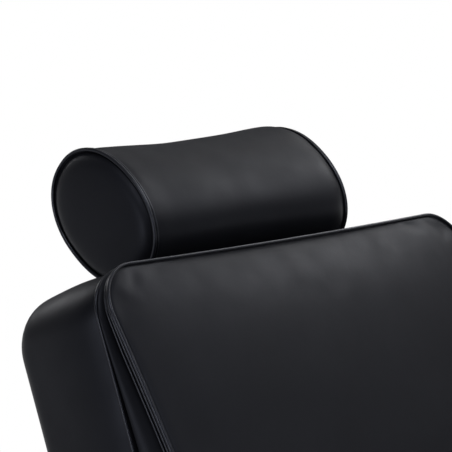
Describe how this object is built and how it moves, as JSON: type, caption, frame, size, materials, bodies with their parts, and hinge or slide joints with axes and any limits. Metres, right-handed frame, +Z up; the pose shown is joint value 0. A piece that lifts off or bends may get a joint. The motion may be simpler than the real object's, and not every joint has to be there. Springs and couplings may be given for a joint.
{
  "type": "barber chair",
  "caption": "Black upholstered barber chair on a round base, with a pumped lift, swivel seat, reclining back, padded arms, footrest and a sliding headrest bolster.",
  "frame": {"origin": "on the floor, on the axis of the lift column", "axes": "+Z up, the sitter faces -Y, the sitter's left is +X"},
  "size_m": [0.643, 1.2558, 1.0475],
  "materials": {
    "upholstery": "smooth black artificial leather with a fine grain and a soft sheen",
    "chrome": "bright chrome plating",
    "ground_steel": "ground steel",
    "zinc": "zinc-plated steel",
    "black_paint": "satin black paint",
    "rubber": "matt black rubber",
    "black_plastic": "matt black plastic",
    "plywood": "bare plywood",
    "cast_aluminium": "polished cast aluminium"
  },
  "bodies": {
    "base": {"base_disc": "chrome", "base_floor_ring": "rubber", "base_bolts": "zinc", "pump_housing": "black_paint", "guide_bush": "black_plastic", "gland_cap": "chrome", "wiper_seal": "rubber", "pedal_bracket": "black_paint", "pedal_pin": "ground_steel"},
    "pedal": {"pedal_arm": "chrome", "pedal_pad": "rubber"},
    "plunger": {"pump_plunger": "ground_steel"},
    "lift": {"lift_ram": "ground_steel", "ram_piston": "ground_steel"},
    "seat": {"swivel_hub": "black_paint", "mounting_plate": "black_paint", "plate_bolts": "zinc", "seat_rail_left": "black_paint", "seat_rail_right": "black_paint", "seat_board": "plywood", "seat_base": "upholstery", "seat_cushion": "upholstery", "arm_frame_left": "chrome", "arm_frame_right": "chrome", "arm_pad_left": "upholstery", "arm_pad_right": "upholstery", "frame_screws": "zinc", "hinge_bracket_left": "black_paint", "hinge_bracket_right": "black_paint", "hinge_pins": "ground_steel", "gas_cylinder": "black_paint", "gas_cylinder_clamp": "black_paint", "lever_bush": "black_plastic", "footrest_tube_left": "chrome", "footrest_tube_right": "chrome", "footrest_clamps": "black_paint", "footrest_cross_rod": "chrome", "footrest_end_caps": "black_plastic", "calf_board": "plywood", "calf_pad": "upholstery"},
    "back": {"back_cross_tube": "black_paint", "back_strap_left": "black_paint", "back_strap_right": "black_paint", "strap_bolts": "zinc", "recline_crank": "black_paint", "crank_pin": "ground_steel", "back_board": "plywood", "back_shell": "upholstery", "back_cushion": "upholstery", "headrest_guide_tubes": "black_paint", "guide_brackets": "black_plastic", "headrest_bushes": "black_plastic"},
    "gas_rod": {"gas_rod": "ground_steel"},
    "headrest": {"headrest_posts": "chrome", "headrest_core": "plywood", "headrest_bolster": "upholstery"},
    "lever": {"recline_lever": "chrome", "lever_grip": "black_plastic"},
    "footplate": {"footplate": "cast_aluminium", "footplate_tread": "rubber"}
  },
  "joints": [
    {"name": "pedal_hinge", "type": "hinge", "parent": "base", "child": "pedal", "pos_m": [0, 0.084, 0.15], "axis": [-1, 0, 0], "range_deg": [0, 18], "stiffness_Nm_per_rad": 8, "springref_deg": -20.05},
    {"name": "plunger_slide", "type": "slide", "parent": "base", "child": "plunger", "axis": [0, 0, -1], "range_m": [0, 0.01084]},
    {"name": "lift_slide", "type": "slide", "parent": "base", "child": "lift", "axis": [0, 0, 1], "range_m": [0, 0.16]},
    {"name": "swivel", "type": "hinge", "parent": "lift", "child": "seat", "pos_m": [0, 0, 0.32], "axis": [0, 0, 1], "continuous": true},
    {"name": "recline", "type": "hinge", "parent": "seat", "child": "back", "pos_m": [0, 0.266, 0.42231], "axis": [-1, 0, 0], "range_deg": [0, 38]},
    {"name": "gas_rod_slide", "type": "slide", "parent": "seat", "child": "gas_rod", "axis": [0, -1, 0], "range_m": [0, 0.04037]},
    {"name": "headrest_slide", "type": "slide", "parent": "back", "child": "headrest", "axis": [0, 0.342, 0.9397], "range_m": [0, 0.11]},
    {"name": "lever_hinge", "type": "hinge", "parent": "seat", "child": "lever", "pos_m": [0, -0.095, 0.362], "axis": [1, 0, 0], "range_deg": [0, 25], "stiffness_Nm_per_rad": 1.5, "springref_deg": -8.59},
    {"name": "footplate_hinge", "type": "hinge", "parent": "seat", "child": "footplate", "pos_m": [0, -0.5, 0.13], "axis": [-1, 0, 0], "range_deg": [0, 75]}
  ],
  "couplings": [
    {"joint": "plunger_slide", "follows": "pedal_hinge", "m_per_rad": 0.0345},
    {"joint": "gas_rod_slide", "follows": "recline", "m_per_rad": 0.06087}
  ]
}
